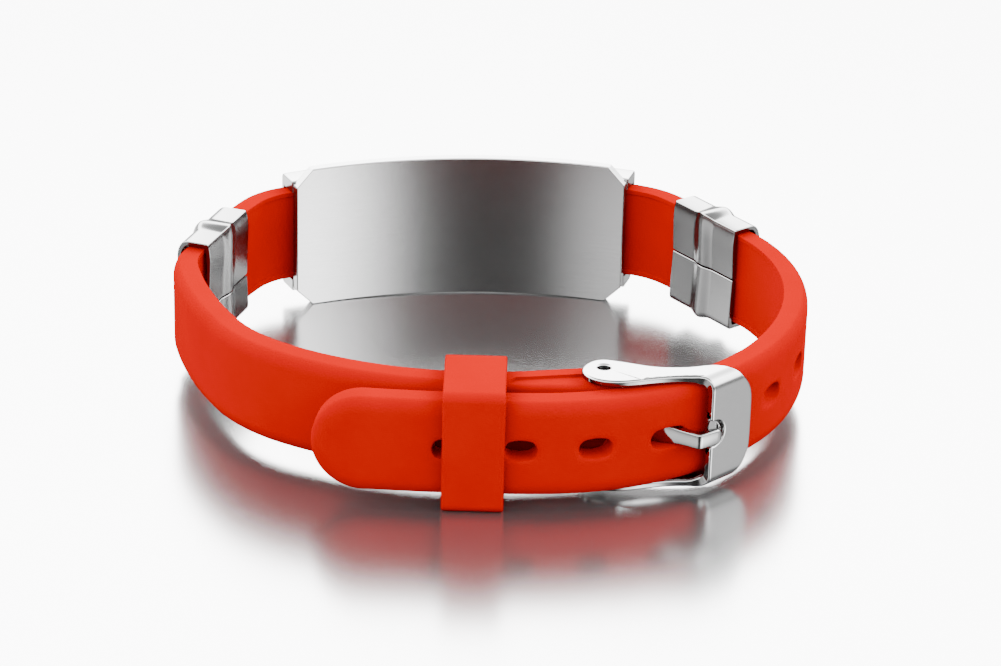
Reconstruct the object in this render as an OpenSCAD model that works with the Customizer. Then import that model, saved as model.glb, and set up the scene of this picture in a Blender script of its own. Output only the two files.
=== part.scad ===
// Medical alert bracelet: a silicone strap in two lengths on a curved steel plate, closed by a
// buckle and a keeper. It lies on its side, its plate towards +Y and its buckle towards -Y.

/* [Strap] */
// Width of both straps, across the wrist band
strap_w = 11; // [10.4:0.2:11.2]
// Thickness of both straps
strap_t = 2.6; // [2.3:0.1:2.8]
// Rounding of the strap's outer edges
strap_round = 1; // [0.6:0.1:1.6]
// Width of the raised lip along the strap's inner edges
lip_w = 0.55; // [0.4:0.05:0.8]
// Height of that lip
lip_h = 0.15; // [0.1:0.05:0.25]
// Length of strap held in the plate at each end
insert_l = 4.5; // [3:0.5:7]
// Thickness of the strap where the plate holds it
insert_t = 1.8; // [1.4:0.1:2]
// Length of an adjustment hole
hole_l = 3.6; // [3:0.1:4.4]
// Length of the used hole, which the tongue stretches
used_hole_l = 4.6; // [4.5:0.1:5]
// Width of an adjustment hole
hole_w = 2.35; // [2.2:0.05:3]
// Distance from one hole to the next
hole_pitch = 7.5; // [6.5:0.1:8]
// Number of holes between the tongue and the tip
holes_to_tip = 3; // [2:1:3]
// Number of holes between the tongue and the plate
holes_to_plate = 3; // [1:1:3]
// Length of the last bend, which ends in the tip
tip_bend = 10.2; // [9.6:0.2:11]
// Thickness of the barrel round the pin
barrel_d = 4; // [3.8:0.1:4.2]
// Length over which the strap thickens towards the barrel
ramp_l = 9.3; // [7:0.1:9.6]
// Thickness of the flange that stays full width beside the thickened part
flange_t = 1.2; // [0.8:0.1:1.6]
// Depth of the step above that flange
step_d = 0.28; // [0.15:0.01:0.4]

/* [Plate] */
// Length of the plate, straight across its ends
plate_l = 38.8; // [34:0.2:40]
// Height of the plate
plate_h = 17.5; // [17:0.1:20]
// Radius of the plate's inner face
plate_r = 52; // [50:0.5:56]
// Thickness of the plate's inner sheet
sheet_t = 1.2; // [0.8:0.1:1.4]
// Length of the cut corners of that sheet
corner_l = 1.9; // [1:0.1:3]
// Height of the cut corners
corner_h = 2.1; // [1:0.1:2.4]
// Height of the raised outer box
box_h = 14.2; // [13.4:0.2:14.8]
// Length by which the box stands out past each end of the sheet
box_over = 1.1; // [0.6:0.1:1.5]
// Thickness of the box's wall over the strap
box_wall = 0.7; // [0.5:0.1:1]
// Thickness of the layer between the sheet and the strap
box_floor = 0.3; // [0.2:0.1:0.6]
// Rounding of the box's long outer edges
box_round = 0.6; // [0.3:0.1:1]

/* [Sleeves] */
// Length of a sleeve along the strap
sleeve_l = 10.8; // [8:0.2:11]
// Thickness of its sheet
sleeve_wall = 0.5; // [0.4:0.05:0.6]
// Gap between a sleeve and the strap's edges
sleeve_gap = 0.3; // [0.15:0.05:0.4]
// Rounding of a sleeve's long edges
sleeve_round = 0.9; // [0.4:0.1:1]
// Width of the rib round the middle of a sleeve
rib_w = 2.6; // [1.6:0.2:4]
// Height of that rib
rib_h = 0.3; // [0.2:0.05:0.4]
// Width of the seam on the sleeve's inner face
seam_w = 0.2; // [0.1:0.05:0.4]

/* [Keeper] */
// Width of the keeper along the strap
keeper_w = 6.6; // [4:0.2:7]
// Thickness of its wall
keeper_wall = 0.85; // [0.7:0.05:1]
// Overall height of the keeper
keeper_h = 14; // [13.4:0.2:14.8]
// Distance from the pin back to the middle of the keeper
keeper_at = 13.4; // [13.4:0.1:15]
// Gap between the keeper and the long strap's outer face
keeper_gap = 0.3; // [0.3:0.05:0.45]
// Gap between the keeper and the short strap's inner face
keeper_back = 0.8; // [0.6:0.05:1]
// Turn of the keeper from square to the strap
keeper_turn = -1; // [-1.5:0.5:1]
// Rounding of the keeper's long edges
keeper_round = 1; // [0.5:0.1:1.2]

/* [Buckle] */
// Gap between an arm and the strap's edge
arm_gap = 0.3; // [0.2:0.05:0.6]
// Thickness of the frame's arms
arm_t = 0.8; // [0.6:0.05:0.85]
// Width of an arm at its round end
arm_w = 5.4; // [5:0.1:5.8]
// Distance from the pin to the crossbar, along the bracelet's front
bar_reach = 11.2; // [11:0.1:11.6]
// Width of the crossbar
bar_w = 6.2; // [5.6:0.1:6.4]
// Thickness of the crossbar
bar_t = 1; // [0.9:0.05:1.2]
// Gap between the crossbar and the strap
bar_gap = 0.55; // [0.4:0.05:0.7]
// Turn of the crossbar from the line of the strap
bar_turn = -2; // [-4:1:0]
// Rounding of the crossbar's long edges
bar_round = 0.9; // [0.5:0.1:0.9]
// Rounding inside the bends from the arms to the crossbar
bend_round = 0.6; // [0.3:0.1:0.8]
// Rounding of the crossbar's far corners
bar_corner = 2.8; // [2.2:0.1:3]
// Length of the notch under the tongue
notch_l = 2; // [1.7:0.1:2.2]
// Width of that notch, whose end is round
notch_w = 3; // [2.6:0.1:3.2]
// Depth of that notch
notch_d = 0.4; // [0.3:0.05:0.5]
// Diameter of the pin
pin_d = 1.15; // [0.9:0.05:1.3]
// Length of the pin's ends inside the arms
pin_in = 0.3; // [0.2:0.05:0.5]
// Distance from the pin to the used hole, along the bracelet's front
hole_reach = 5.5; // [5.3:0.05:5.6]
// Width of the tongue
tongue_w = 1.7; // [1.4:0.1:1.9]
// Thickness of the tongue
tongue_t = 0.8; // [0.6:0.1:0.9]
// Distance of the tongue from the middle of its hole
tongue_set = 0.05; // [0:0.05:0.1]
// Length of the tongue's tip past its bend
tip_l = 2.9; // [2.4:0.1:3]
// Rounding of the tip's corners
tip_round = 0.65; // [0.4:0.05:0.7]
// Turn of the tip away from the crossbar
tip_turn = 18; // [16:1:24]
// Thickness of the tongue's loop round the pin
loop_wall = 0.75; // [0.6:0.05:0.8]

/* [Fits] */
// Clearance between neighbouring pieces
clearance = 0.1; // [0.06:0.01:0.12]
// Clearance between the barrel or the arms and their neighbours
side_gap = 0.3; // [0.2:0.05:0.35]

/* [Hidden] */
$fn = 64;

// Every other length of strap is this much smaller all round and reaches into its neighbours
joint_step = 0.01;
lap = 0.1;
// Overlap of fused bodies, and the overshoot of cuts
sink = 0.02;
over = 1;

// Rows of a strap's run: radius and angle of a bend, then the length of a straight
RADIUS = 0;
TURN = 1;
LENGTH = 2;
LEFT = 1;
RIGHT = -1;

// The straight that a sleeve sits on
sleeve_run = 11.2;
short_rows = [[7, 33, 0], [25, 10, 0], [0, 0, sleeve_run], [7, 32, 0], [48, 17.5, 0],
              [18.5, 28.5, 0], [38, 41.5, 0], [0, 0, 7.2]];
long_rows = [[8.5, 28.5, 0], [25, 5.5, 0], [0, 0, sleeve_run], [16.5, 11.5, 0],
             [24, 30, 0], [29, 83.5, 0], [135, tip_bend, 0]];

// The point where both straps leave the plate's curve
shoulder_x = 20.75;
shoulder_y = 27.5;
seat_r = plate_r + sheet_t + box_floor + clearance + lip_h;
shoulder_turn = asin(shoulder_x / seat_r);
plate_y = shoulder_y - seat_r * cos(shoulder_turn);
plate_turn = asin(plate_l / 2 / plate_r);
insert_turn = plate_turn - degrees(insert_l, seat_r);
lug_turn = plate_turn + degrees(box_over, seat_r);
box_r = seat_r + insert_t + clearance + box_wall;

short_run = concat([[seat_r, shoulder_turn - insert_turn, 0]], short_rows);
long_run = concat([[seat_r, shoulder_turn - insert_turn, 0]], long_rows);

function degrees(run, radius) = run / radius * 180 / PI;
function row_run(row) = row[LENGTH] + row[RADIUS] * row[TURN] * PI / 180;
function run_length(rows, i = 0) = i < len(rows) ? row_run(rows[i]) + run_length(rows, i + 1) : 0;
function unit(a) = [cos(a), sin(a)];
function dot(a, b) = a[0] * b[0] + a[1] * b[1];

// A spot is a point on the strap's inner face with the angle that faces outwards there
function bend_spot(spot, r, a, side) =
    let (centre = [spot[0], spot[1]] - r * unit(spot[2]), out = centre + r * unit(spot[2] + side * a))
    [out[0], out[1], spot[2] + side * a];
function straight_spot(spot, l, side) =
    let (out = [spot[0], spot[1]] + l * unit(spot[2] + side * 90)) [out[0], out[1], spot[2]];
function part_spot(spot, row, s, side) =
    row[TURN] > 0 ? bend_spot(spot, row[RADIUS], degrees(s, row[RADIUS]), side)
                  : straight_spot(spot, s, side);
function spot_at(spot, rows, s, side, i = 0) =
    s > row_run(rows[i]) && i < len(rows) - 1
        ? spot_at(part_spot(spot, rows[i], row_run(rows[i]), side), rows,
                  s - row_run(rows[i]), side, i + 1)
        : part_spot(spot, rows[i], s, side);
function start_spot(side) =
    let (out = 90 + side * insert_turn) [seat_r * cos(out), plate_y + seat_r * sin(out), out];
function short_spot(s) = spot_at(start_spot(LEFT), short_run, s, LEFT);
function long_spot(s) = spot_at(start_spot(RIGHT), long_run, s, RIGHT);
function lift(spot, u) = [spot[0], spot[1]] + u * unit(spot[2]);

short_l = run_length(short_run);
long_l = run_length(long_run);

// The place along the front half of the long strap that lies at x, found in small steps
front_step = 0.1;
function front_at(x) =
    max([for (s = [long_l / 2:front_step:long_l]) if (long_spot(s)[0] >= x) s]);

// Pin, used hole, tongue and crossbar
pin_spot = short_spot(short_l);
pin = lift(pin_spot, barrel_d / 2);
used_at = front_at(pin[0] + hole_reach);
used_spot = long_spot(used_at);
bar_spot = long_spot(front_at(pin[0] + bar_reach));
bar_out = bar_spot[2] - bar_turn;
bar_in = lift(bar_spot, strap_t + bar_gap);
bar_mid = bar_in + bar_t / 2 * unit(bar_out);
through = lift(used_spot, strap_t / 2) - tongue_set * unit(used_spot[2] - 90);
tongue_dir = atan2(through[1] - pin[1], through[0] - pin[0]);
bend_at = dot(bar_in + bar_t * unit(bar_out) - pin, unit(bar_out))
          / dot(unit(tongue_dir), unit(bar_out));
bend = pin + bend_at * unit(tongue_dir);
tip_dir = bar_out + 90 - tip_turn;
loop_r = pin_d / 2 + clearance + loop_wall;
frame_h = strap_w + 2 * (arm_gap + arm_t);
frame_z = (strap_w - frame_h) / 2;

// Outline of an arm from the pin to the crossbar: share of the way, then share of the arm's width
arm_back = [[0.12, 0.28], [0.24, 0.2], [0.33, 0.14], [0.41, 0.1], [0.5, 0.085], [0.6, 0.095],
            [0.71, 0.13], [0.81, 0.18], [0.89, 0.21], [0.95, 0.19]];
arm_front = [[0.7, -0.34], [0.6, -0.355], [0.49, -0.4], [0.38, -0.47], [0.29, -0.535],
             [0.2, -0.6], [0.1, -0.63]];
end_share = [0.03, -0.137];
arm_l = norm(bar_mid - pin);
arm_dir = atan2(bar_mid[1] - pin[1], bar_mid[0] - pin[0]);

// Keeper
keeper_spot = short_spot(short_l - keeper_at);
keeper_out = keeper_spot[2] + keeper_turn;
keeper_far = lift(long_spot(front_at(keeper_spot[0])), strap_t);
keeper_depth = dot(keeper_far - [keeper_spot[0], keeper_spot[1]], unit(keeper_out));
keeper_in = lip_h + keeper_back;

// How it lies: on the plate's lower edge and on the keeper's front lower edge
plate_drop = (plate_h - strap_w) / 2;
keeper_drop = (keeper_h - strap_w) / 2;
rest_back = plate_y + sqrt(pow(plate_r, 2) - pow(plate_l / 2 - corner_l, 2));
keeper_front = [for (s = [-1, 1])
    keeper_spot[1] + (keeper_depth + keeper_gap + keeper_wall) * sin(keeper_out)
    + s * keeper_w / 2 * cos(keeper_out)];
rest_front = min(keeper_front);
rest_tilt = atan((plate_drop - keeper_drop) / (rest_back - rest_front));
rest_lift = keeper_drop * cos(rest_tilt) - rest_front * sin(rest_tilt);
left_end = min([for (s = [0:0.5:short_l]) lift(short_spot(s), strap_t)[0]]);
right_end = max([for (s = [0:0.5:long_l]) lift(long_spot(s), strap_t)[0]]);
back_end = (plate_y + box_r) * cos(rest_tilt) - (strap_w - box_h) / 2 * sin(rest_tilt);
front_end = rest_front * cos(rest_tilt) - (strap_w + keeper_h) / 2 * sin(rest_tilt);

module rest()
{
    translate([-(left_end + right_end) / 2, -(back_end + front_end) / 2, rest_lift])
        rotate([rest_tilt, 0, 0])
            children();
}

module at_spot(spot)
{
    translate([spot[0], spot[1], 0])
        rotate([0, 0, spot[2]])
            children();
}

// Outline of a square corner's waste outside a rounding
module corner_waste(r)
{
    difference() {
        translate([-r, -over])
            square([r + over, r + over]);
        translate([-r, r])
            circle(r);
    }
}

// The strap's section, x outwards from its inner face and y across its width
module strap_section(inset)
{
    x2 = strap_t - inset;
    y2 = strap_w - inset;
    r = strap_round - inset;
    difference() {
        translate([inset - lip_h, inset])
            square([x2 + lip_h - inset, y2 - inset]);
        translate([inset - over, lip_w - inset])
            square([over, strap_w - 2 * (lip_w - inset)]);
        translate([x2, inset])
            corner_waste(r);
        translate([x2, y2])
            mirror([0, 1])
                corner_waste(r);
    }
}

// One row of a run, starting at the origin with x outwards
module row_body(row, side, reach, inset)
{
    if (row[TURN] > 0) {
        extra = degrees(reach, row[RADIUS]);
        translate([-row[RADIUS], 0, 0])
            rotate([0, 0, side == LEFT ? -extra : -row[TURN] - extra])
                rotate_extrude(angle = row[TURN] + 2 * extra)
                    translate([row[RADIUS], 0])
                        strap_section(inset);
    } else {
        translate([0, side == LEFT ? row[LENGTH] + reach : reach, 0])
            rotate([90, 0, 0])
                linear_extrude(row[LENGTH] + 2 * reach)
                    strap_section(inset);
    }
}

module row_end(row, side)
{
    if (row[TURN] > 0)
        translate([-row[RADIUS], 0, 0])
            rotate([0, 0, side * row[TURN]])
                translate([row[RADIUS], 0, 0])
                    children();
    else
        translate([0, side * row[LENGTH], 0])
            children();
}

module run_body(rows, side, i = 0)
{
    inner = i % 2 == 1;
    row_body(rows[i], side, inner ? lap : 0, inner ? joint_step : 0);
    if (i < len(rows) - 1)
        row_end(rows[i], side)
            run_body(rows, side, i + 1);
}

// Ring about the plate's axis: angle to each side of the middle, then radii and heights
module plate_ring(turn, r1, r2, z1, z2)
{
    translate([0, plate_y, 0])
        rotate([0, 0, 90 - turn])
            rotate_extrude(angle = 2 * turn)
                translate([r1, z1])
                    square([r2 - r1, z2 - z1]);
}

// Where the plate's lugs cover the strap, it is thinner
module insert_cut()
{
    plate_ring(lug_turn + degrees(clearance, seat_r), seat_r + insert_t, box_r + over,
               -over, strap_w + over);
}

module hole(l)
{
    translate([-over, 0, strap_w / 2])
        rotate([90, 0, 90])
            linear_extrude(strap_t + 2 * over)
                union() {
                    square([l - hole_w, hole_w], center = true);
                    for (x = [-1, 1])
                        translate([x * (l - hole_w) / 2, 0])
                            circle(d = hole_w);
                }
}

module tip_waste()
{
    tip_r = strap_w / 2 + side_gap;
    translate([-over, 0, strap_w / 2])
        rotate([90, 0, 90])
            linear_extrude(strap_t + 2 * over)
                difference() {
                    translate([-over, -tip_r - over])
                        square([tip_r + over, 2 * (tip_r + over)]);
                    translate([tip_r, 0])
                        circle(tip_r);
                }
}

module strap_long()
{
    color([0.9, 0.08, 0.03])
        rest()
            difference() {
                at_spot(start_spot(RIGHT))
                    run_body(long_run, RIGHT);
                insert_cut();
                for (i = [-holes_to_plate:holes_to_tip])
                    at_spot(long_spot(used_at + i * hole_pitch))
                        hole(i == 0 ? used_hole_l : hole_l);
                at_spot(long_spot(long_l))
                    tip_waste();
            }
}

// Step along both edges of the thickened end, which leaves the flange full width
module step_waste()
{
    for (z = [-over, strap_w - step_d])
        translate([0, 0, z])
            linear_extrude(step_d + over)
                polygon([[flange_t, -ramp_l], [barrel_d + over, -ramp_l - barrel_d],
                         [barrel_d + over, barrel_d], [flange_t, barrel_d]]);
}

// Barrel round the pin and the strap's thickening towards it, in the frame of the pin's spot
module barrel()
{
    linear_extrude(strap_w)
        translate([barrel_d / 2, 0])
            circle(d = barrel_d - 2 * joint_step);
    linear_extrude(strap_w)
        polygon([[strap_t / 2, -ramp_l], [strap_t, -ramp_l], [barrel_d - 2 * joint_step, 0],
                 [strap_t / 2, 0]]);
}

module barrel_cuts()
{
    slot_w = tongue_w + 2 * side_gap;
    slot_r = loop_r + side_gap;
    translate([barrel_d / 2, 0, -over])
        cylinder(d = pin_d + 2 * clearance, h = strap_w + 2 * over);
    translate([-over, -slot_r, (strap_w - slot_w) / 2])
        cube([barrel_d + 2 * over, slot_r + barrel_d, slot_w]);
    step_waste();
}

module strap_short()
{
    color([0.9, 0.08, 0.03])
        rest()
            difference() {
                union() {
                    at_spot(start_spot(LEFT))
                        run_body(short_run, LEFT);
                    at_spot(pin_spot)
                        barrel();
                }
                insert_cut();
                at_spot(pin_spot)
                    barrel_cuts();
            }
}

// Part of a ring about the plate's axis, between two angles to the right of the middle
module plate_sector(from, to, r1, r2, z1, z2)
{
    translate([0, plate_y, 0])
        rotate([0, 0, 90 - to])
            rotate_extrude(angle = to - from)
                translate([r1, z1])
                    square([r2 - r1, z2 - z1]);
}

module sheet()
{
    z = [(strap_w - plate_h) / 2, (strap_w + plate_h) / 2];
    difference() {
        plate_ring(plate_turn, plate_r, plate_r + sheet_t, z[0], z[1]);
        for (x = [-1, 1])
            for (i = [0, 1])
                translate([x * plate_l / 2, plate_y + 2 * plate_r, z[i]])
                    rotate([90, 0, 0])
                        linear_extrude(2 * plate_r)
                            scale([x, 2 * i - 1])
                                polygon([[-2 * corner_l, corner_h], [corner_l, corner_h],
                                         [corner_l, -2 * corner_h]]);
    }
}

module box_body()
{
    depth = box_r - plate_r - sheet_t + sink;
    translate([0, plate_y, 0])
        rotate([0, 0, 90 - lug_turn])
            rotate_extrude(angle = 2 * lug_turn)
                translate([plate_r + sheet_t - sink, (strap_w - box_h) / 2])
                    difference() {
                        square([depth, box_h]);
                        translate([depth, 0])
                            corner_waste(box_round);
                        translate([depth, box_h])
                            mirror([0, 1])
                                corner_waste(box_round);
                    }
}

// Pockets for the strap's ends, open below the lugs that stand out past the sheet
module pockets()
{
    z = [-clearance, strap_w + clearance];
    pocket_turn = insert_turn - degrees(clearance, seat_r);
    far_turn = lug_turn + degrees(over, seat_r);
    sheet_end = plate_turn + degrees(sink, seat_r);
    pocket_r = [seat_r - lip_h - clearance, seat_r + insert_t + clearance];
    for (a = [[pocket_turn, far_turn], [-far_turn, -pocket_turn]])
        plate_sector(a[0], a[1], pocket_r[0], pocket_r[1], z[0], z[1]);
    for (a = [[sheet_end, far_turn], [-far_turn, -sheet_end]])
        plate_sector(a[0], a[1], plate_r, pocket_r[1], z[0], z[1]);
}

module id_plate()
{
    color([0.75, 0.75, 0.77])
        rest()
            difference() {
                union() {
                    sheet();
                    box_body();
                }
                pockets();
            }
}

// Rectangle between two corners with all its corners rounded
module rounded(x1, x2, y1, y2, r)
{
    difference() {
        translate([x1, y1])
            square([x2 - x1, y2 - y1]);
        for (x = [0, 1])
            for (y = [0, 1])
                translate([x == 0 ? x1 : x2, y == 0 ? y1 : y2])
                    mirror([x == 0 ? 1 : 0, 0])
                        mirror([0, y == 0 ? 0 : 1])
                            corner_waste(r);
    }
}

// Length of a section that lies across the strap's run, about the middle of its spot
module across(l)
{
    translate([0, l / 2, 0])
        rotate([90, 0, 0])
            linear_extrude(l)
                children();
}

module sleeve(spot)
{
    x1 = -lip_h - clearance;
    x2 = strap_t + clearance;
    at_spot(spot)
        difference() {
            union() {
                across(sleeve_l)
                    rounded(x1 - sleeve_wall, x2 + sleeve_wall, -sleeve_gap - sleeve_wall,
                            strap_w + sleeve_gap + sleeve_wall, sleeve_round);
                across(rib_w)
                    rounded(x1 - sleeve_wall - rib_h, x2 + sleeve_wall + rib_h,
                            -sleeve_gap - sleeve_wall - rib_h,
                            strap_w + sleeve_gap + sleeve_wall + rib_h, sleeve_round);
            }
            across(sleeve_l + 2 * over)
                translate([x1, -sleeve_gap])
                    square([x2 - x1, strap_w + 2 * sleeve_gap]);
            across(sleeve_l + 2 * over)
                translate([x1 - sleeve_wall - over, (strap_w - seam_w) / 2])
                    square([sleeve_wall + over + clearance, seam_w]);
        }
}

// Place along a run of the middle of the straight for a sleeve
function sleeve_at(rows) = row_run(rows[0]) + row_run(rows[1]) + row_run(rows[2]) + sleeve_run / 2;

module sleeve_left()
{
    color([0.8, 0.8, 0.82])
        rest()
            sleeve(short_spot(sleeve_at(short_run)));
}

module sleeve_right()
{
    color([0.8, 0.8, 0.82])
        rest()
            sleeve(long_spot(sleeve_at(long_run)));
}

module keeper()
{
    x1 = -keeper_in;
    x2 = keeper_depth + keeper_gap;
    z1 = (strap_w - keeper_h) / 2;
    z2 = (strap_w + keeper_h) / 2;
    color([0.9, 0.08, 0.03])
        rest()
            at_spot([keeper_spot[0], keeper_spot[1], keeper_out])
                across(keeper_w)
                    difference() {
                        rounded(x1 - keeper_wall, x2 + keeper_wall, z1, z2, keeper_round);
                        translate([x1, z1 + keeper_wall])
                            square([x2 - x1, z2 - z1 - 2 * keeper_wall]);
                    }
}

// Arm in the frame of the pin, x towards the middle of the crossbar
module arm()
{
    out = unit(bar_out - arm_dir);
    side = unit(bar_out + 90 - arm_dir);
    inner = [arm_l, 0] - (bar_t / 2 - 2 * sink) * out;
    difference() {
        union() {
            translate([end_share[0] * arm_l, end_share[1] * arm_w])
                circle(d = arm_w);
            polygon(concat([for (p = arm_back) [p[0] * arm_l, p[1] * arm_w]],
                           [inner + (bar_w / 2 - bar_corner) * side, inner - bar_w / 2 * side],
                           [for (p = arm_front) [p[0] * arm_l, p[1] * arm_w]]));
        }
        circle(d = pin_d + 2 * clearance);
    }
}

// Section of the crossbar with the rounded insides of its bends to the arms
module bar_section()
{
    difference() {
        translate([-bend_round, frame_z])
            square([bar_t + bend_round, frame_h]);
        translate([bar_t, frame_z])
            corner_waste(bar_round);
        translate([bar_t, frame_z + frame_h])
            mirror([0, 1])
                corner_waste(bar_round);
        rounded(-bend_round - over, 0, frame_z + arm_t, frame_z + frame_h - arm_t, bend_round);
    }
}

module crossbar()
{
    difference() {
        across(bar_w)
            bar_section();
        translate([-over, 0, 0])
            rotate([90, 0, 90])
                linear_extrude(bar_t + 2 * over)
                    union() {
                        translate([bar_w / 2, frame_z])
                            corner_waste(bar_corner);
                        translate([bar_w / 2, frame_z + frame_h])
                            mirror([0, 1])
                                corner_waste(bar_corner);
                    }
        translate([bar_t - notch_d, -bar_w / 2 - over, (strap_w - notch_w) / 2])
            cube([notch_d + over, notch_l + over - notch_w / 2, notch_w]);
        translate([bar_t - notch_d, notch_l - (bar_w + notch_w) / 2, strap_w / 2])
            rotate([0, 90, 0])
                cylinder(d = notch_w, h = notch_d + over);
    }
}

module buckle_frame()
{
    color([0.8, 0.8, 0.82])
        rest()
            union() {
                for (z = [frame_z, frame_z + frame_h - arm_t])
                    translate([pin[0], pin[1], z])
                        rotate([0, 0, arm_dir])
                            linear_extrude(arm_t)
                                arm();
                at_spot([bar_in[0], bar_in[1], bar_out])
                    crossbar();
            }
}

// Plan of the tongue's bar in the bracelet's frame, from the loop round the pin to the tip
module tongue_plan()
{
    half = tongue_t / 2;
    left = unit(tongue_dir + 90);
    tip_left = unit(tip_dir + 90);
    middle = (tongue_dir + tip_dir) / 2 + 90;
    mitre = half / cos((tip_dir - tongue_dir) / 2) * unit(middle);
    tip = bend + tip_l * unit(tip_dir);
    root = pin + (loop_r - tongue_t / 2) * unit(tongue_dir);
    polygon([root + half * left, bend + mitre, tip + half * tip_left,
             tip - half * tip_left, bend - mitre, root - half * left]);
}

module buckle_tongue()
{
    color([0.8, 0.8, 0.82])
        rest()
            difference() {
                translate([0, 0, (strap_w - tongue_w) / 2]) {
                    translate(pin)
                        cylinder(r = loop_r, h = tongue_w);
                    linear_extrude(tongue_w)
                        tongue_plan();
                }
                translate([pin[0], pin[1], 0])
                    cylinder(d = pin_d + 2 * clearance, h = strap_w);
                translate([bend[0], bend[1], strap_w / 2])
                    rotate([0, 0, tip_dir])
                        translate([tip_l, tongue_t, 0])
                            rotate([90, 0, 0])
                                linear_extrude(2 * tongue_t)
                                    for (y = [0, 1])
                                        mirror([0, y])
                                            translate([0, -tongue_w / 2])
                                                corner_waste(tip_round);
            }
}

module spring_bar()
{
    sunk = arm_t - pin_in;
    color([0.7, 0.7, 0.72])
        rest()
            translate([pin[0], pin[1], frame_z + sunk])
                cylinder(d = pin_d, h = frame_h - 2 * sunk);
}

id_plate();
strap_long();
strap_short();
sleeve_left();
sleeve_right();
keeper();
buckle_frame();
buckle_tongue();
spring_bar();
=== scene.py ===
import math

import bmesh
import bpy
import numpy as np
from mathutils import Matrix, Vector


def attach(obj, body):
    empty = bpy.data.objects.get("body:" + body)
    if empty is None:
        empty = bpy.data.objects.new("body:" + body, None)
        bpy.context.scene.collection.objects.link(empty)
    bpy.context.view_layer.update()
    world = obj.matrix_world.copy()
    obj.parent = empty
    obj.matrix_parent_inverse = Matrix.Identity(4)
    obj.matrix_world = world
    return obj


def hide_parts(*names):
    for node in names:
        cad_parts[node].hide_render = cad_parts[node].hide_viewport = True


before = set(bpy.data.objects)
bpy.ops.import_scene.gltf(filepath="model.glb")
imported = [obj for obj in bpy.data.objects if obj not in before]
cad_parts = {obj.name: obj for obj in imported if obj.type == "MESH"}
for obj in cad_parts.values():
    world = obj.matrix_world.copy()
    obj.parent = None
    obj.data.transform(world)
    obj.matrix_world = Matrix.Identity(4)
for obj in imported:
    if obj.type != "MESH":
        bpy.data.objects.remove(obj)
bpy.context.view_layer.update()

# The bracelet's own plan, in millimetres: x to the right of someone who looks at the buckle,
# y towards the plate, z across the strap. Rows are bend radius, bend angle, straight length; the
# sleeves sit on the third one.
leftward = 1
rightward = -1
sleeveStraight = 11.2
sleeveRow = 3
strapPlan = {
    "width": 11.0, "thickness": 2.6, "edgeRound": 1.7, "edgeDrop": 0.9,
    "lipWidth": 0.55, "lipHeight": 0.15, "lipSlope": 0.05,
    "insertLength": 4.5, "insertThickness": 1.8, "insertRound": 0.4,
    "shoulder": (20.75, 27.5),
    "shortRows": [[7, 33, 0], [25, 10, 0], [0, 0, sleeveStraight], [7, 32, 0], [48, 17.5, 0],
        [18.5, 28.5, 0], [38, 41.5, 0], [0, 0, 7.2]],
    "longRows": [[8.5, 28.5, 0], [25, 5.5, 0], [0, 0, sleeveStraight], [16.5, 11.5, 0],
        [24, 30, 0], [29, 83.5, 0], [135, 10.2, 0]],
}
platePlan = {
    "length": 38.8, "height": 17.5, "radius": 52.0, "sheet": 1.2,
    "cornerLength": 1.9, "cornerHeight": 2.1,
    "boxHeight": 14.2, "boxOver": 0.1, "boxWall": 0.7, "boxFloor": 0.3, "boxRound": 0.6,
}
clearance = 0.1
seatRadius = (platePlan["radius"] + platePlan["sheet"] + platePlan["boxFloor"] + clearance
    + strapPlan["lipHeight"])
shoulderTurn = math.degrees(math.asin(strapPlan["shoulder"][0] / seatRadius))
plateY = strapPlan["shoulder"][1] - seatRadius * math.cos(math.radians(shoulderTurn))
plateTurn = math.degrees(math.asin(platePlan["length"] / 2 / platePlan["radius"]))
insertTurn = plateTurn - math.degrees(strapPlan["insertLength"] / seatRadius)
lugTurn = plateTurn + math.degrees(platePlan["boxOver"] / seatRadius)
boxRadius = seatRadius + strapPlan["insertThickness"] + clearance + platePlan["boxWall"]
midZ = strapPlan["width"] / 2


def unit(angle):
    # (cos a, sin a), a in degrees
    a = np.radians(angle)
    return np.stack([np.cos(a), np.sin(a)], axis=-1)


def raised(flat, z):
    # (x, y) and the height z, spread over all the points, as (x, y, z)
    z = np.broadcast_to(np.asarray(z, float), flat.shape[:-1])
    return np.concatenate([flat, z[..., None]], -1)


def layRun(rows, side):
    # Start of every row: run so far, point on the inner face, angle that faces outwards there, and
    # the row's radius
    angle = 90 + side * insertTurn
    point = np.array([0, plateY]) + seatRadius * unit(angle)
    at, starts = 0.0, []
    for radius, turn, length in [[seatRadius, shoulderTurn - insertTurn, 0]] + rows:
        starts.append((at, *point, angle, radius))
        if turn:
            centre = point - radius * unit(angle)
            angle = angle + side * turn
            point = centre + radius * unit(angle)
            at += radius * math.radians(turn)
        else:
            point = point + length * unit(angle + 90 * side)
            at += length
    return {"side": side, "starts": np.array(starts), "length": at}


def runAt(run, s):
    # Point p(s) = c + R (cos a, sin a) on a bend, a = a0 + side s / R; p0 + s t on a straight
    s, starts, side = np.asarray(s, dtype=float), run["starts"], run["side"]
    row = starts[np.clip(np.searchsorted(starts[:, 0], s, side="right") - 1, 0, None)]
    part, point, first, radius = s - row[..., 0], row[..., 1:3], row[..., 3], row[..., 4]
    safe = np.where(radius > 0, radius, 1.0)
    angle = first + np.where(radius > 0, side * np.degrees(part / safe), 0)
    bent = point - radius[..., None] * unit(first) + radius[..., None] * unit(angle)
    straight = point + part[..., None] * unit(first + 90 * side)
    return np.where(radius[..., None] > 0, bent, straight), angle


def strapPoint(run, s, u, z):
    # P(s, u, z) = p(s) + u n(s), n the outward direction, z across the strap
    point, angle = runAt(run, s)
    return raised(point + np.asarray(u)[..., None] * unit(angle), z)


shortRun = layRun(strapPlan["shortRows"], leftward)
longRun = layRun(strapPlan["longRows"], rightward)


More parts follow.
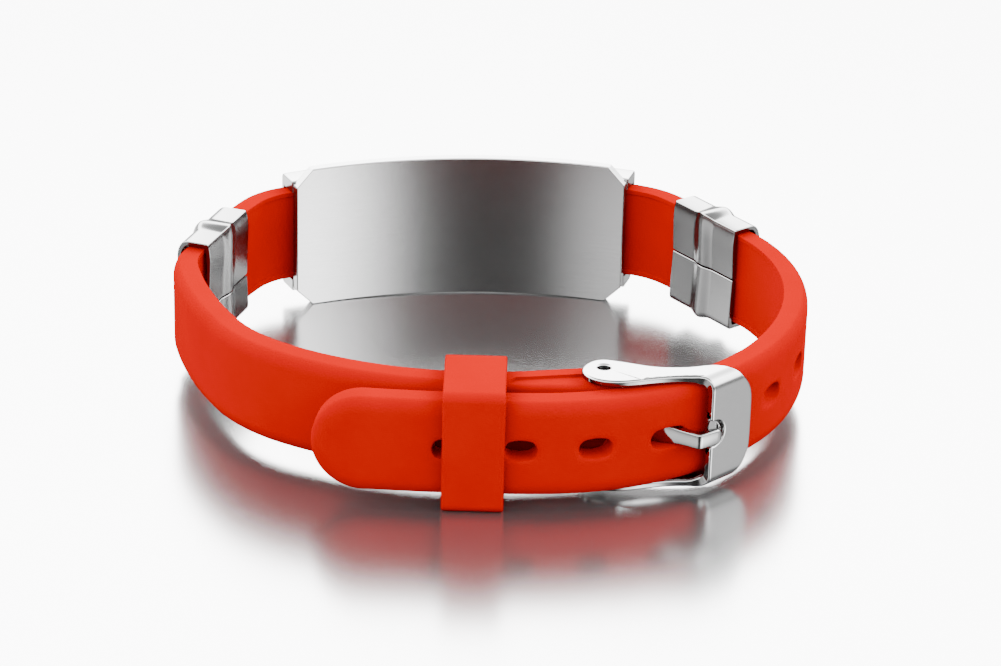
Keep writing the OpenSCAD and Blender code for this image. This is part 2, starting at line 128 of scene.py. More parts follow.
def frontAt(x):
    # Last run along the long strap's front half, to 0.1, at which its inner face lies at x or past
    s = np.arange(longRun["length"] * 0.5, longRun["length"], 0.1)
    return float(s[runAt(longRun, s)[0][:, 0] >= x].max())


bucklePlan = {
    "height": 13.2, "armThickness": 0.8, "bendOutside": 1.6, "bendInside": 1.3,
    "barReach": 11.2, "barWidth": 6.2, "barThickness": 1.0, "barGap": 0.55, "barTurn": -2.0,
    "notchLength": 2.0, "notchWidth": 3.0, "notchDepth": 0.7,
    "pin": 1.15, "pinIn": 0.3, "barrel": 4.0, "holeReach": 5.5,
}
pinSpot, pinOut = runAt(shortRun, shortRun["length"])
pin = pinSpot + bucklePlan["barrel"] / 2 * unit(pinOut)
usedAt = frontAt(pin[0] + bucklePlan["holeReach"])
barSpot, barOut = runAt(longRun, frontAt(pin[0] + bucklePlan["barReach"]))
barIn = barSpot + (strapPlan["thickness"] + bucklePlan["barGap"]) * unit(barOut)
barOut = barOut - bucklePlan["barTurn"]
barLocal = unit(barOut)
barSide = unit(barOut + 90)
barMid = barIn + bucklePlan["barThickness"] / 2 * barLocal
armTurn = math.degrees(math.atan2(*(barMid - pin)[::-1]))

# How it lies: turned so that the plate's lower edge and the keeper's front lower edge touch down
keeperPlan = {"width": 6.6, "wall": 0.85, "height": 14.0, "at": 13.4, "gap": 0.3, "back": 0.8,
    "turn": -1.0, "round": 1.0, "hollowRound": 0.25, "bevel": 0.22}
keeperSpot, keeperOut = runAt(shortRun, shortRun["length"] - keeperPlan["at"])
keeperOut = keeperOut + keeperPlan["turn"]
farSpot, farOut = runAt(longRun, frontAt(keeperSpot[0]))
farOuter = farSpot + strapPlan["thickness"] * unit(farOut)
keeperDepth = float((farOuter - keeperSpot) @ unit(keeperOut))
keeperEdge = keeperDepth + keeperPlan["gap"] + keeperPlan["wall"]
keeperFront = min(float(keeperSpot[1] + keeperEdge * unit(keeperOut)[1]
    + k * keeperPlan["width"] / 2 * unit(keeperOut)[0]) for k in (-1, 1))
plateDrop = (platePlan["height"] - strapPlan["width"]) / 2
keeperDrop = (keeperPlan["height"] - strapPlan["width"]) / 2
restBack = plateY + math.sqrt(platePlan["radius"] ** 2
    - (platePlan["length"] / 2 - platePlan["cornerLength"]) ** 2)
restTilt = math.atan((plateDrop - keeperDrop) / (restBack - keeperFront))
restLift = keeperDrop * math.cos(restTilt) - keeperFront * math.sin(restTilt)
tiltCos, tiltSin = math.cos(restTilt), math.sin(restTilt)


def outerReach(run, pick):
    # Furthest x of the strap's outer face, looked for every 0.5 mm
    s = np.append(np.arange(0, run["length"], 0.5), run["length"])
    return float(pick(strapPoint(run, s, strapPlan["thickness"], 0)[:, 0]))


backEnd = ((plateY + boxRadius) * tiltCos
    - (strapPlan["width"] - platePlan["boxHeight"]) / 2 * tiltSin)
frontEnd = keeperFront * tiltCos - (strapPlan["width"] + keeperPlan["height"]) / 2 * tiltSin
restShift = np.array([-(outerReach(shortRun, np.min) + outerReach(longRun, np.max)) / 2,
    -(backEnd + frontEnd) / 2, restLift])


def asItLies(points):
    # Turn about x by the rest angle, move onto the floor, millimetres to metres
    x, y, z = points[..., 0], points[..., 1], points[..., 2]
    turned = np.stack([x, y * tiltCos - z * tiltSin, y * tiltSin + z * tiltCos], -1)
    return (turned + restShift) / 1000


def band(a, b):
    # Quads between two rows of points
    return np.stack([a[..., :-1], a[..., 1:], b[..., 1:], b[..., :-1]], -1)


def closedBand(a, b):
    # Quads between two rows of points that close on themselves
    return np.stack([a, np.roll(a, -1, axis=-1), np.roll(b, -1, axis=-1), b], -1)


def gridFaces(rows, columns, join=closedBand):
    # Quads of a grid, row i joined to row i + 1
    index = np.arange(rows * columns).reshape(rows, columns)
    return join(index[:-1], index[1:])


def tube(points, start=0):
    # Faces of closed loops joined row by row, and the two faces that close its ends
    rows, base = points.shape[:2]
    loop = start + np.arange(base)
    return start + gridFaces(rows, base).reshape(-1, 4), [loop, loop + (rows - 1) * base]


def addObject(name, data):
    # New object in the scene
    thing = bpy.data.objects.new(name, data)
    bpy.context.scene.collection.objects.link(thing)
    return thing


# Merge distances in metres, angles in degrees
meshPlan = {"merge": 3e-6, "degenerate": 1e-6, "bevelSteps": 3, "bevelAngle": 32}


def makePiece(name, points, quads, caps, material, nodes, slot, bevel=None, sharp=35, clamp=True):
    # Mesh from points in millimetres, doubles merged, faces turned outwards
    mesh = bpy.data.meshes.new(name)
    faces = np.asarray(quads).reshape(-1, 4).tolist() + [list(map(int, c)) for c in caps]
    mesh.from_pydata(asItLies(np.asarray(points, float).reshape(-1, 3)).tolist(), [], faces)
    work = bmesh.new()
    work.from_mesh(mesh)
    bmesh.ops.remove_doubles(work, verts=work.verts, dist=meshPlan["merge"])
    bmesh.ops.dissolve_degenerate(work, dist=meshPlan["degenerate"], edges=work.edges)
    bmesh.ops.recalc_face_normals(work, faces=work.faces)
    work.to_mesh(mesh)
    work.free()
    mesh.shade_smooth()
    mesh.set_sharp_from_angle(angle=math.radians(sharp))
    piece = addObject(name, mesh)
    piece.data.materials.append(material)
    if bevel:
        edge = piece.modifiers.new("softEdge", "BEVEL")
        edge.width = bevel / 1000
        edge.segments = meshPlan["bevelSteps"]
        edge.limit_method = "ANGLE"
        edge.angle_limit = math.radians(meshPlan["bevelAngle"])
        edge.harden_normals = True
        edge.use_clamp_overlap = clamp
    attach(piece, "root")
    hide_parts(*nodes)
    print("made", name, len(mesh.polygons), "faces")
    return piece


# Shader groups

def newGroup(name, inputs, outputs):
    # Group whose inputs are floats, or vectors where three values are given, and outputs floats
    group = bpy.data.node_groups.new(name, "ShaderNodeTree")
    for label, value in inputs.items():
        kind = "NodeSocketVector" if isinstance(value, tuple) else "NodeSocketFloat"
        socket = group.interface.new_socket(label, in_out="INPUT", socket_type=kind)
        socket.default_value = value
    for label in outputs:
        group.interface.new_socket(label, in_out="OUTPUT", socket_type="NodeSocketFloat")
    return group, group.nodes.new("NodeGroupInput"), group.nodes.new("NodeGroupOutput")


def plug(tree, node, inputs):
    # Link the inputs that are given a socket, set the others to their value
    for key, value in inputs.items():
        socket = node.inputs[key]
        if isinstance(value, bpy.types.NodeSocket):
            tree.links.new(value, socket)
        else:
            socket.default_value = value


def addNode(tree, kind, inputs=None, **settings):
    # New node with its settings and inputs
    node = tree.nodes.new(kind)
    for key, value in settings.items():
        setattr(node, key, value)
    plug(tree, node, inputs or {})
    return node


def sums(tree, operation, a, b):
    # a and b added, subtracted, multiplied or compared
    return addNode(tree, "ShaderNodeMath", {0: a, 1: b}, operation=operation).outputs[0]


def between(tree, share, low, high):
    # low + share (high - low)
    return addNode(tree, "ShaderNodeMapRange", {
        "Value": share, "To Min": low, "To Max": high}).outputs[0]


def noise(tree, place, scale, detail, roughness):
    # Sum of detail octaves of noise, each one's height roughness times the last one's
    return addNode(tree, "ShaderNodeTexNoise", {
        "Vector": place, "Scale": scale, "Detail": detail, "Roughness": roughness}).outputs["Fac"]


def buildGrainGroup():
    # Height = fine noise; Tone = slow mottling; both between 0 and 1
    group, start, end = newGroup("moldedGrain", {
        "Fine": 9000.0, "Slow": 160.0}, ["Height", "Tone"])
    place = addNode(group, "ShaderNodeTexCoord").outputs["Object"]
    plug(group, end, {"Height": noise(group, place, start.outputs["Fine"], 3.0, 0.6),
        "Tone": noise(group, place, start.outputs["Slow"], 4.0, 0.55)})
    return group


def buildBrushGroup():
    # Lines = noise of the place times Along, small along the lines and large across them;
    # Smudge = slow noise
    group, start, end = newGroup("brushedLines", {
        "Along": (1.0, 1.0, 1.0), "Smudge Scale": 120.0}, ["Lines", "Smudge"])
    place = addNode(group, "ShaderNodeTexCoord").outputs["Object"]
    drawn = addNode(group, "ShaderNodeVectorMath", {0: place, 1: start.outputs["Along"]},
        operation="MULTIPLY")
    plug(group, end, {"Lines": noise(group, drawn.outputs[0], 1.0, 5.0, 0.65),
        "Smudge": noise(group, place, start.outputs["Smudge Scale"], 3.0, 0.5)})
    return group


moldedGrain = buildGrainGroup()
brushedLines = buildBrushGroup()


def startMaterial(name):
    # New material, its node tree and its Principled shader
    material = bpy.data.materials.new(name)
    material.use_nodes = True
    return material, material.node_tree, material.node_tree.nodes["Principled BSDF"]


def toneMix(tree, share, look):
    # dark + share (light - dark)
    return addNode(tree, "ShaderNodeMix", {
        "Factor": share, "A": (*look["dark"], 1), "B": (*look["light"], 1)},
        data_type="RGBA").outputs["Result"]


def bumpFrom(tree, height, look):
    # Normal turned by the slope of the height
    return addNode(tree, "ShaderNodeBump", {
        "Height": height, "Strength": look["bump"],
        "Distance": look["bumpDepth"]}).outputs["Normal"]


def makeSilicone(name, look):
    # Colour and roughness follow the slow mottling, the normal follows the fine grain
    material, tree, shader = startMaterial(name)
    grain = addNode(tree, "ShaderNodeGroup", {
        "Fine": look["grainScale"], "Slow": look["toneScale"]}, node_tree=moldedGrain)
    tone = grain.outputs["Tone"]
    plug(tree, shader, {
        "Base Color": toneMix(tree, tone, look), "Specular IOR Level": look["specular"],
        "Roughness": between(tree, tone, *look["roughness"]), "Sheen Weight": look["sheen"],
        "Normal": bumpFrom(tree, grain.outputs["Height"], look),
        "Sheen Roughness": look["sheenRoughness"], "Sheen Tint": (*look["sheenTint"], 1)})
    return material


def makeSteel(name, look):
    # Colour, normal and a part of the roughness follow the lines, the rest of it the smudges
    look = {"bumpDepth": 0.00003, "lean": 0.0, "anisotropic": 0.0, **look}
    material, tree, shader = startMaterial(name)
    brush = addNode(tree, "ShaderNodeGroup", {
        "Along": look["along"], "Smudge Scale": look["smudgeScale"]}, node_tree=brushedLines)
    lines = brush.outputs["Lines"]
    normal = bumpFrom(tree, lines, look)
    if look["lean"]:
        # The brush wheel leaves the lines' lower flanks the steeper ones
        leaned = addNode(tree, "ShaderNodeVectorMath", {0: normal, 1: (0, 0, look["lean"])},
            operation="ADD")
        normal = addNode(tree, "ShaderNodeVectorMath", {0: leaned.outputs[0]},
            operation="NORMALIZE").outputs[0]
    rough = sums(tree, "ADD", between(tree, lines, -look["lineRough"], look["lineRough"]),
        between(tree, brush.outputs["Smudge"], *look["roughness"]))
    plug(tree, shader, {"Base Color": toneMix(tree, lines, look), "Roughness": rough,
        "Normal": normal, "Metallic": 1.0})
    if look["anisotropic"]:
        along = addNode(tree, "ShaderNodeTangent", direction_type="UV_MAP", uv_map=look["tangent"])
        plug(tree, shader, {"Anisotropic": look["anisotropic"], "Tangent": along.outputs[0]})
    return material


redSilicone = makeSilicone("redSilicone", {
    "dark": (0.20, 0.0007, 0.0002), "light": (0.24, 0.0010, 0.0003), "grainScale": 9000.0,
    "toneScale": 160.0, "bump": 0.10, "bumpDepth": 0.00004, "roughness": (0.40, 0.50),
    "specular": 0.0, "sheen": 0.02, "sheenRoughness": 0.35, "sheenTint": (1.0, 0.06, 0.03)})
plateSteel = makeSteel("brushedPlateSteel", {
    "dark": [0.38] * 3, "light": [0.50] * 3, "along": (260.0, 260.0, 14000.0),
    "smudgeScale": 90.0, "lineRough": 0.03, "roughness": (0.19, 0.23), "bump": 0.10,
    "anisotropic": 0.35, "tangent": "plateLines", "lean": -0.075})
sleeveSteel = makeSteel("satinSleeveSteel", {
    "dark": [0.24] * 3, "light": [0.31] * 3, "along": (300.0, 300.0, 12000.0),
    "smudgeScale": 150.0, "lineRough": 0.03, "roughness": (0.14, 0.20), "bump": 0.08,
    "lean": -0.24})
buckleSteel = makeSteel("polishedBuckleSteel", {
    "dark": [0.38] * 3, "light": [0.44] * 3, "along": (900.0, 900.0, 6000.0),
    "smudgeScale": 200.0, "lineRough": 0.02, "roughness": (0.08, 0.13), "bump": 0.03})
# Near-black base colour: painted shade on the spring bar's ends deep in the arms' pin holes; the
# high roughness is its dull finish
paintedShadePinSteel = makeSteel("dullPaintedShadePinSteel", {
    "dark": [0.04] * 3, "light": [0.07] * 3, "along": (900.0, 900.0, 6000.0),
    "smudgeScale": 300.0, "lineRough": 0.05, "roughness": (0.40, 0.55), "bump": 0.10})
print("materials ready")


# Straps

# Obround holes: used one apart, cell round each of them, how fast the ring takes up the length
holeLook = {"length": 3.35, "usedLength": 3.9, "usedShift": -0.2, "width": 2.35, "pitch": 7.5,
    "toTip": 3, "toPlate": 3, "edge": 0.22, "halfCell": 2.2, "margin": 1.3, "ease": 1.6}
edgeColumns = 12
middleColumns = 8
lipColumns = 3
# Columns round the strap's section, and the first one of the middle of either face
faceFirst = {"outer": edgeColumns, "inner": 2 * edgeColumns + middleColumns + 1 + lipColumns}
loopColumns = faceFirst["inner"] + middleColumns + 1 + lipColumns
stationStep = 0.45
sharpStep = 0.02
strapSharp = 40
insertEnd = strapPlan["insertLength"] + platePlan["boxOver"] + clearance


def roundedAcross(thickness, across, down, inset, shelf):
    # Left edge of the outer face: (distance from the edge, height), a quarter ellipse that starts
    # at the inset; the shelf lies outside the inset
    phi = np.radians(np.linspace(0, 90, edgeColumns - 2))
    first = np.where(inset > 0, shelf, thickness - down)
    distance = [np.zeros_like(inset), inset] + [inset + across * (1 - np.cos(p)) for p in phi]
    height = [first, first] + [thickness - down * (1 - np.sin(p)) for p in phi]
    return np.stack(distance, -1), np.stack(height, -1)


def strapGrid(s, thickness, inner, across, down, inset, shelf, narrow, tipAt=0, tipRadius=0):
    # Section loop at every station: outer face from edge to edge, then inner face back
    width, lipW, lipH = strapPlan["width"], strapPlan["lipWidth"], strapPlan["lipHeight"]
    slope = strapPlan["lipSlope"]
    edgeD, edgeU = roundedAcross(thickness, across, down, inset, shelf)
    middle = midZ + np.linspace(-1, 1, middleColumns + 1) * holeLook["halfCell"]
    middleZ = np.broadcast_to(middle, (len(s), middleColumns + 1))
    lipZ = np.broadcast_to(np.array([0, lipW - slope, lipW + slope]), (len(s), lipColumns))
    lipU = np.stack([inner - lipH, inner - lipH, inner], -1)
    z = np.concatenate([edgeD, middleZ, width - edgeD[:, ::-1],
        width - lipZ, middleZ[:, ::-1], lipZ[:, ::-1]], 1)
    u = np.concatenate([edgeU, np.broadcast_to(thickness[:, None], middleZ.shape), edgeU[:, ::-1],
        lipU, np.broadcast_to(inner[:, None], middleZ.shape), lipU[:, ::-1]], 1)
    z = midZ + (z - midZ) * narrow[:, None]
    sAll = np.broadcast_to(s[:, None], z.shape)
    if tipRadius:
        # Outer edge about the tip: height from the distance to the tip's circle
        away = np.clip(tipRadius - np.hypot(sAll - tipAt, z - midZ), 0, across[:, None])
        share = 1 - away / across[:, None]
        dome = thickness[:, None] - down[:, None] * (1 - np.sqrt(np.clip(1 - share ** 2, 0, None)))
        isOuter = np.arange(loopColumns) < faceFirst["inner"] - lipColumns
        u = np.where((sAll > tipAt) & isOuter, dome, u)
    return sAll, u, z


def rimOf(block):
    # Values round a grid's rim: down its first column, along its last row and back
    return np.concatenate([block[:-1, 0], block[-1, :-1], block[:0:-1, -1], block[0, :0:-1]])


def holePatch(s, first, last, centre, length, face, nextIndex):
    # Ring between the hole's obround and its cell: core point + r (direction), eased outwards
    radius, soft = holeLook["width"] / 2, holeLook["edge"]
    core = (length - holeLook["width"]) / 2
    steps = np.arange(middleColumns + 1)
    along = np.arange(first, last + 1)[:, None]
    isOuter = face == "outer"
    column = faceFirst[face] + (steps if isOuter else steps[::-1])
    sign, level = (1, strapPlan["thickness"]) if isOuter else (-1, 0.0)
    zSteps = midZ + (steps / middleColumns * 2 - 1) * holeLook["halfCell"]
    index = along * loopColumns + column
    edgeS = rimOf(np.broadcast_to(s[along], index.shape))
    edgeZ = rimOf(np.broadcast_to(zSteps, index.shape))
    half = (s[last] - s[first]) / 2
    coreS = np.clip((edgeS - centre) / half * core * holeLook["ease"], -core, core)
    away = np.stack([edgeS - centre - coreS, edgeZ - midZ], -1)
    away /= np.linalg.norm(away, axis=1)[:, None]
    # Three rings round the soft edge, then two on the way to the cell's rim
    grow, drop = soft * np.array([[0, 0.3, 1], [1, 0.3, 0]])
    ringS = centre + coreS + (radius + grow[:, None]) * away[:, 0]
    ringZ = midZ + (radius + grow[:, None]) * away[:, 1]
    share = np.array([[0.35], [0.7]])
    ringS = np.vstack([ringS, ringS[-1] * (1 - share) + edgeS * share])
    ringZ = np.vstack([ringZ, ringZ[-1] * (1 - share) + edgeZ * share])
    height = level - sign * np.append(drop, [0, 0])[:, None]
    points = strapPoint(longRun, ringS, np.broadcast_to(height, ringS.shape), ringZ).reshape(-1, 3)
    own = nextIndex + np.arange(ringS.size).reshape(ringS.shape)
    ladder = np.vstack([own, rimOf(index)])
    return points, closedBand(ladder[:-1], ladder[1:]).reshape(-1, 4), own[0]


def stationsFor(length, marks):
    # Even stations between the marked places
    marks = sorted({0.0, length} | {round(float(v), 4) for v in marks})
    pieces = [np.linspace(a, b, max(2, int(math.ceil((b - a) / stationStep)) + 1))[:-1]
        for a, b in zip(marks[:-1], marks[1:])]
    return np.append(np.concatenate(pieces), length)


def inPlateOr(s, inside, beyond):
    # One value for the end that sits in the plate, the other beyond it
    return np.where(s < insertEnd + sharpStep / 2, strapPlan[inside], beyond)


def buildStrapLong():
    # Strap with a round tip, half width = sqrt(R^2 - (s - tip's centre)^2), and a row of holes
    length = longRun["length"]
    tipRadius = strapPlan["width"] / 2 + sharpStep
    tipAt = length - tipRadius
    cells = []
    for k in range(-holeLook["toPlate"], holeLook["toTip"] + 1):
        size = holeLook["usedLength"] if k == 0 else holeLook["length"]
        centre = usedAt + k * holeLook["pitch"] + (holeLook["usedShift"] if k == 0 else 0)
        half = size / 2 + holeLook["margin"]
        cells.append((centre - half, centre + half, centre, size))
    tipMarks = length - tipRadius * (1 - np.sin(np.radians(np.linspace(0, 90, 25))))
    s = stationsFor(length, [v for c in cells for v in c[:2]]
        + [insertEnd, insertEnd + sharpStep] + list(tipMarks))
    thickness = inPlateOr(s, "insertThickness", strapPlan["thickness"])
    across = inPlateOr(s, "insertRound", strapPlan["edgeRound"])
    down = inPlateOr(s, "insertRound", strapPlan["edgeDrop"])
    zero = np.zeros_like(s)
    narrow = np.where(s > tipAt, np.sqrt(np.clip(tipRadius ** 2 - (s - tipAt) ** 2, 1e-6, None))
        / tipRadius, 1.0)
    grid = strapGrid(s, thickness, zero, across, down, zero, zero, narrow, tipAt, tipRadius)
    points = [strapPoint(longRun, *grid).reshape(-1, 3)]
    faces = gridFaces(len(s), loopColumns)
    keep = np.ones(faces.shape[:2], bool)
    patches, count = [], len(points[0])
    for low, high, centre, size in cells:
        first, last = int(np.argmin(abs(s - low))), int(np.argmin(abs(s - high)))
        rims = []
        for face, column in faceFirst.items():
            keep[first:last, column:column + middleColumns] = False
            more, quads, rim = holePatch(s, first, last, centre, size, face, count)
            points.append(more)
            patches.append(quads)
            rims.append(rim)
            count += len(more)
        patches.append(closedBand(*rims))
    quads = np.concatenate([faces[keep]] + patches)
    end = np.arange(loopColumns)
    caps = [end, (len(s) - 1) * loopColumns + end]
    makePiece("strapLongSilicone", np.concatenate(points), quads, caps, redSilicone,
        ["strap_long"], "silicone", sharp=strapSharp)


# Ramp before the barrel, step along its edges, slot for the tongue
barrelLook = {"ramp": 9.3, "flange": 1.2, "step": 0.28, "slot": 2.3, "slotBack": 1.73,
    "edge": 0.5, "least": 0.02, "leanRun": 3.0}


def buildStrapShort():
    # Strap that thickens along a ramp into the barrel, height = r +- sqrt(r^2 - (s - pin)^2)
    look, pinRun = barrelLook, shortRun["length"]
    barrelR = bucklePlan["barrel"] / 2
    length = pinRun + barrelR
    rampAt = pinRun - look["ramp"]
    slotAt = pinRun - look["slotBack"]
    roundMarks = pinRun + barrelR * np.sin(np.radians(np.linspace(0, 90, 13)))
    s = stationsFor(length, [insertEnd, insertEnd + sharpStep, rampAt, rampAt + sharpStep, slotAt]
        + list(roundMarks))
    full = strapPlan["thickness"]
    rise = np.clip((s - rampAt) / look["ramp"], 0, 1)
    past = np.clip(s - pinRun, 0, barrelR)
    half = np.sqrt(np.clip(barrelR ** 2 - past ** 2, 1e-5, None))
    thickness = inPlateOr(s, "insertThickness", full + rise * (2 * barrelR - full))
    thickness = np.where(past > 0, barrelR + half, thickness)
    inner = np.where(past > 0, barrelR - half, 0)
    stepped = s > rampAt + sharpStep / 2
    soft = np.minimum(look["edge"], half * 0.5)
    across, down = (inPlateOr(s, "insertRound", np.where(stepped, soft, strapPlan[key]))
        for key in ("edgeRound", "edgeDrop"))
    inset = np.where(stepped, look["step"], 0.0)
    shelf = np.minimum(np.maximum(look["flange"], inner + look["least"]), thickness - down)
    sAll, u, z = strapGrid(s, thickness, inner, across, down, inset, shelf, np.ones_like(s))
    # The step starts along a line at 45 degrees
    lean = (np.clip(1 - abs(sAll - rampAt) / look["leanRun"], 0, 1)
        * np.clip(u - look["flange"], 0, None))
    points = strapPoint(shortRun, np.clip(sAll - lean, 0, length), u, z).reshape(-1, 3)
    faces = gridFaces(len(s), loopColumns)
    keep = np.ones(faces.shape[:2], bool)
    first = int(np.argmin(abs(s - slotAt)))
    share = look["slot"] / 2 / holeLook["halfCell"]
    a = int(round((1 - share) / 2 * middleColumns))
    b = middleColumns - a
    for column in faceFirst.values():
        keep[first:, column + a:column + b] = False
    # Walls of the slot, from the outer face to the inner one
    rows = np.arange(first, len(s))
    walls = [band(row * loopColumns + faceFirst["outer"] + column,
        row * loopColumns + faceFirst["inner"] + middleColumns - column)
        for row, column in ((rows, a), (rows, b), (first, np.arange(a, b + 1)))]
    makePiece("strapShortSilicone", points, np.concatenate([faces[keep]] + walls),
        [np.arange(loopColumns)], redSilicone, ["strap_short"], "silicone",
        sharp=strapSharp)


buildStrapLong()
buildStrapShort()


# Loops round the strap: sleeves and keeper

def roundedLoop(x1, x2, y1, y2, radius):
    # Rectangle with quarter circles of that radius at its corners, anticlockwise from (x2, y1)
    corners = [(x2 - radius, y1 + radius, -90), (x2 - radius, y2 - radius, 0),
        (x1 + radius, y2 - radius, 90), (x1 + radius, y1 + radius, 180)]
    turn = np.linspace(0, 90, 9)
    return np.concatenate([np.array([cx, cy]) + radius * unit(a + turn) for cx, cy, a in corners])


def acrossPoints(spot, out, loop, along):
    # Place of a loop (x outwards, z across), moved along the strap from a spot on the run
    return raised(spot + loop[:, :1] * unit(out) + along * unit(out + 90), loop[:, 1])


# Rounds are half axes: across the face, along it
sleeveLook = {"length": 10.8, "wall": 0.5, "gap": 0.3, "round": (1.3, 2.0),
    "hollowRound": (1.0, 1.7), "crown": (0.5, 2.8), "inRound": (0.3, 0.8),
    "dish": 0.25, "leftSeamDrop": 1.9, "rib": 1.8, "ribHeight": 0.32, "seam": 0.2,
    "endBand": 0.6, "bevel": 0.12}


def sleeveSection(x1, x2, z1, z2, grow, outer, seamAt):
    # Band from the seam's lower lip round the strap to its upper lip, with quarter ellipses at its
    # corners. Towards the wrist it comes out by dish x (distance from the seam / half the height)
    low, crown, seam = sleeveLook["inRound"], sleeveLook["crown"], sleeveLook["seam"]
    corners = [(x1 - grow + low[0], z1 - grow + low[1], low, 180),
        (x2 + grow - outer[0], z1 - grow + outer[1], outer, 270),
        (x2 + grow - outer[0], z2 + grow - outer[1], outer, 0),
        (x1 - grow + crown[0], z2 + grow - crown[1], crown, 90)]
    arcs = [np.array([cx, cz]) + np.array(size) * unit(start + np.linspace(0, 90, 11))
        for cx, cz, size, start in corners]
    lips = np.array([[x1 - grow, seamAt - seam / 2], [x1 - grow, seamAt + seam / 2]])
    loop = np.concatenate([lips[:1]] + arcs + [lips[1:]])
    nearWrist = np.clip((x2 - loop[:, 0]) / (x2 - x1 + grow), 0, 1)
    loop[:, 0] -= sleeveLook["dish"] * nearWrist * np.abs(loop[:, 1] - seamAt) / (midZ - z1)
    return loop


def buildSleeve(name, run, node, seamAt):
    # Rib height (1 + cos(pi t)) / 2, t from -1 to 1 across the rib
    look = sleeveLook
    spot, out = runAt(run, run["starts"][sleeveRow, 0] + sleeveStraight / 2)
    box = (-strapPlan["lipHeight"] - clearance, strapPlan["thickness"] + clearance,
        -look["gap"], strapPlan["width"] + look["gap"])
    half, end = look["length"] / 2, look["endBand"]
    swell = np.linspace(-1, 1, 17)
    places = np.concatenate([[-half, -half + end], swell * look["rib"], [half - end, half]])
    grows = np.concatenate([[0, 0], look["ribHeight"] * (1 + np.cos(swell * math.pi)) / 2, [0, 0]])
    inner = sleeveSection(*box, 0, look["hollowRound"], seamAt)[::-1]
    loops = []
    for place, grow in zip(places, grows):
        outer = sleeveSection(*box, look["wall"] + grow, look["round"], seamAt)
        loops.append(acrossPoints(spot, out, np.concatenate([outer, inner]), place))
    points = np.stack(loops)
    quads, (first, last) = tube(points)
    # Each end joins the outer half of its loop to the inner one
    half = len(first) // 2
    quads = np.concatenate([quads] + [band(end[:half], end[:half - 1:-1]) for end in (first, last)])
    makePiece(name, points, quads, [], sleeveSteel, [node], "sleeve_steel", bevel=look["bevel"])


buildSleeve("sleeveLeftSteel", shortRun, "sleeve_left", midZ - sleeveLook["leftSeamDrop"])
buildSleeve("sleeveRightSteel", longRun, "sleeve_right", midZ)


def buildKeeper():
    # Outer and inner rounded rectangle, each at both edges of the keeper, joined in a ring
    look, wall = keeperPlan, keeperPlan["wall"]
    x1, x2 = -strapPlan["lipHeight"] - look["back"], keeperDepth + look["gap"]
    z1, z2 = midZ - look["height"] / 2, midZ + look["height"] / 2
    outer = roundedLoop(x1 - wall, x2 + wall, z1, z2, look["round"])
    inner = roundedLoop(x1, x2, z1 + wall, z2 - wall, look["hollowRound"])
    half = look["width"] / 2
    loops = [acrossPoints(keeperSpot, keeperOut, loop, place)
        for loop, place in ((outer, -half), (outer, half), (inner, half), (inner, -half))]
    j = np.arange(len(outer))
    quads = np.concatenate([gridFaces(4, len(j)).reshape(-1, 4),
        closedBand(3 * len(j) + j, j)])
    makePiece("keeperSilicone", np.stack(loops), quads, [], redSilicone, ["keeper"], "silicone",
        bevel=look["bevel"])


buildKeeper()


# Plate

# Rows and columns of the sheet and the box, depth the box is sunk in the sheet, brush lines
plateLook = {"rows": 97, "cornerRows": 5, "columns": 7, "boxRows": 107, "sunk": 0.02,
    "lineScale": 40, "bevel": 0.14}


def buildPlate():
    # Sheet: r from R to R + sheet, z2 and z1 moved in by h (|x| - x0) / l past x0
    look, plan = plateLook, platePlan
    centre = np.array([0, plateY])
    x0 = plan["length"] / 2 - plan["cornerLength"]
    z1, z2 = midZ - plan["height"] / 2, midZ + plan["height"] / 2
    cut = math.degrees(math.asin(x0 / plan["radius"]))
    turn = np.concatenate([np.linspace(-plateTurn, -cut, look["cornerRows"])[:-1],
        np.linspace(-cut, cut, look["rows"]),
        np.linspace(cut, plateTurn, look["cornerRows"])[1:]])
    over = np.clip(np.abs(plan["radius"] * np.sin(np.radians(turn))) - x0, 0, None)
    trim = over * plan["cornerHeight"] / plan["cornerLength"]
    low, high = z1 + trim, z2 - trim
    face = low[:, None] + (high - low)[:, None] * np.linspace(0, 1, look["columns"])
    r = np.concatenate([np.full_like(face, plan["radius"]),
        np.full_like(face, plan["radius"] + plan["sheet"])], 1)
    sheet = raised(centre + r[..., None] * unit(90 - turn)[:, None, :],
        np.concatenate([face, face[:, ::-1]], 1))

    # Box: channel section open towards the sheet, whose ends are the lugs
    r0 = plan["radius"] + plan["sheet"] - look["sunk"]
    pocket = seatRadius + strapPlan["insertThickness"] + clearance
    b1, b2 = midZ - plan["boxHeight"] / 2, midZ + plan["boxHeight"] / 2
    p1, p2 = -clearance, strapPlan["width"] + clearance
    soft = plan["boxRound"]
    arc = np.linspace(0, 90, 6)
    loop = np.concatenate([
        [[r0, b1]], np.array([boxRadius - soft, b1 + soft]) + soft * unit(arc - 90),
        np.array([boxRadius - soft, b2 - soft]) + soft * unit(arc), [[r0, b2]],
        [[r0, p2], [pocket, p2], [pocket, p1], [r0, p1]]])
    turn = np.linspace(-lugTurn, lugTurn, look["boxRows"])
    box = raised(centre + loop[None, :, :1] * unit(90 - turn)[:, None, :], loop[:, 1])
    quads, caps = tube(sheet)
    boxQuads, boxCaps = tube(box, sheet.size // 3)
    piece = makePiece("idPlateSteel", np.concatenate([sheet.reshape(-1, 3), box.reshape(-1, 3)]),
        np.concatenate([quads, boxQuads]), caps + boxCaps, plateSteel,
        ["id_plate"], "plate_steel", bevel=look["bevel"])
    layLines(piece, asItLies(np.array([0, plateY, midZ])))


